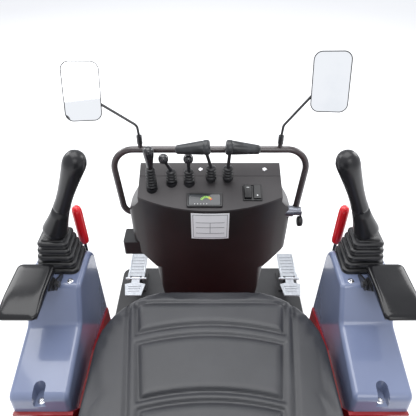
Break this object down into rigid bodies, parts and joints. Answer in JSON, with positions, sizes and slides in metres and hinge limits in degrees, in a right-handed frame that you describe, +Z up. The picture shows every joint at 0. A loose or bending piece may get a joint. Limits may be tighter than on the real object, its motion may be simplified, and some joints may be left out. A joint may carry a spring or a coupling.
{
  "type": "mini excavator operator's station",
  "caption": "Operator's station of a small excavator: sliding seat with folding back, side consoles with joysticks, lever console with grab rail and mirrors, fold-up pedals on a deck plate.",
  "frame": {"origin": "centre of the deck plate's underside", "axes": "+Y forwards, the way the operator faces; +X to the operator's right; +Z up"},
  "size_m": [0.74, 1.03, 0.8573],
  "materials": {
    "black_steel": "satin black paint",
    "red_paint": "gloss red paint",
    "blue_grey_plastic": "glossy blue-grey moulding",
    "black_rubber": "matt black rubber",
    "grip_plastic": "satin black grip",
    "red_plastic": "gloss red grip",
    "pad_vinyl": "black skinned foam",
    "bright_screws": "bright plated",
    "zinc_steel": "zinc plated",
    "seat_vinyl": "black vinyl",
    "black_plastic": "black moulding",
    "brown_black_plastic": "brown-black moulding",
    "panel_plastic": "grained dark panel",
    "label_white": "blank white label",
    "display_black": "black display",
    "gloss_black": "gloss black rockers",
    "grip_rubber": "black rubber grip",
    "grey_metal": "grey barrel",
    "rail_paint": "brown-black paint",
    "mirror_glass": "silvered glass",
    "pedal_alloy": "cast alloy"
  },
  "bodies": {
    "station": {"floor_plate": "black_steel", "seat_base": "red_paint", "left_console_cover": "blue_grey_plastic", "right_console_cover": "blue_grey_plastic", "joystick_bellows": "black_rubber", "left_joystick": "grip_plastic", "right_joystick": "grip_plastic", "lock_rods": "black_steel", "lock_grips": "red_plastic", "armrest_brackets": "black_steel", "console_cover_screws": "bright_screws", "slide_rails": "zinc_steel", "console_head": "brown_black_plastic", "control_panel": "panel_plastic", "console_rear_cover": "panel_plastic", "console_column": "brown_black_plastic", "label_plate": "label_white", "display": "display_black", "rocker_switches": "gloss_black", "console_screws": "bright_screws", "lever_boots": "black_rubber", "hand_levers": "grip_plastic", "key_switch": "grey_metal", "ignition_key": "black_plastic", "side_box": "black_plastic", "grab_rail": "rail_paint", "mirror_sockets": "rail_paint", "pedal_brackets": "black_steel", "pedals": "pedal_alloy"},
    "seat": {"seat_runners": "zinc_steel", "seat_pan": "black_steel", "hinge_brackets": "black_steel", "seat_cushion": "seat_vinyl"},
    "backrest": {"backrest_arms": "black_steel", "backrest_shell": "black_plastic", "backrest_cushion": "seat_vinyl"},
    "left_armrest": {"left_armrest_carrier": "black_steel", "left_armrest_pad": "pad_vinyl"},
    "right_armrest": {"right_armrest_carrier": "black_steel", "right_armrest_pad": "pad_vinyl"},
    "left_travel": {"left_travel_boot": "black_rubber", "left_travel_lever": "black_steel", "left_travel_grip": "grip_rubber"},
    "right_travel": {"right_travel_boot": "black_rubber", "right_travel_lever": "black_steel", "right_travel_grip": "grip_rubber"},
    "left_mirror": {"left_mirror_stalk": "black_steel", "left_mirror_head": "black_plastic", "left_mirror_glass": "mirror_glass"},
    "right_mirror": {"right_mirror_stalk": "black_steel", "right_mirror_head": "black_plastic", "right_mirror_glass": "mirror_glass"},
    "left_flap": {"left_pedal_flap": "pedal_alloy"},
    "right_flap": {"right_pedal_flap": "pedal_alloy"}
  },
  "joints": [
    {"name": "seat_slide", "type": "slide", "parent": "station", "child": "seat", "axis": [0, 1, 0], "range_m": [-0.02, 0.07]},
    {"name": "backrest_fold", "type": "hinge", "parent": "seat", "child": "backrest", "pos_m": [0, -0.376, 0.432], "axis": [-1, 0, 0], "range_deg": [-8, 50]},
    {"name": "left_armrest_tilt", "type": "hinge", "parent": "station", "child": "left_armrest", "pos_m": [-0.29, -0.018, 0.536], "axis": [-1, 0, 0], "range_deg": [0, 25]},
    {"name": "right_armrest_tilt", "type": "hinge", "parent": "station", "child": "right_armrest", "pos_m": [0.29, -0.018, 0.536], "axis": [-1, 0, 0], "range_deg": [0, 25]},
    {"name": "left_travel_push", "type": "hinge", "parent": "station", "child": "left_travel", "pos_m": [0.002, 0.277, 0.57582], "axis": [-1, 0, 0], "range_deg": [-15, 15]},
    {"name": "right_travel_push", "type": "hinge", "parent": "station", "child": "right_travel", "pos_m": [0.042, 0.277, 0.57582], "axis": [-1, 0, 0], "range_deg": [-15, 15]},
    {"name": "left_mirror_swing", "type": "hinge", "parent": "station", "child": "left_mirror", "pos_m": [-0.163, 0.308, 0.66], "axis": [0, 0, 1], "range_deg": [-35, 35]},
    {"name": "right_mirror_swing", "type": "hinge", "parent": "station", "child": "right_mirror", "pos_m": [0.163, 0.308, 0.66], "axis": [0, 0, -1], "range_deg": [-35, 35]},
    {"name": "left_flap_fold", "type": "hinge", "parent": "station", "child": "left_flap", "pos_m": [-0.243, 0.388, 0.093], "axis": [-1, 0, 0], "range_deg": [0, 110]},
    {"name": "right_flap_fold", "type": "hinge", "parent": "station", "child": "right_flap", "pos_m": [0.263, 0.388, 0.093], "axis": [-1, 0, 0], "range_deg": [0, 110]}
  ]
}
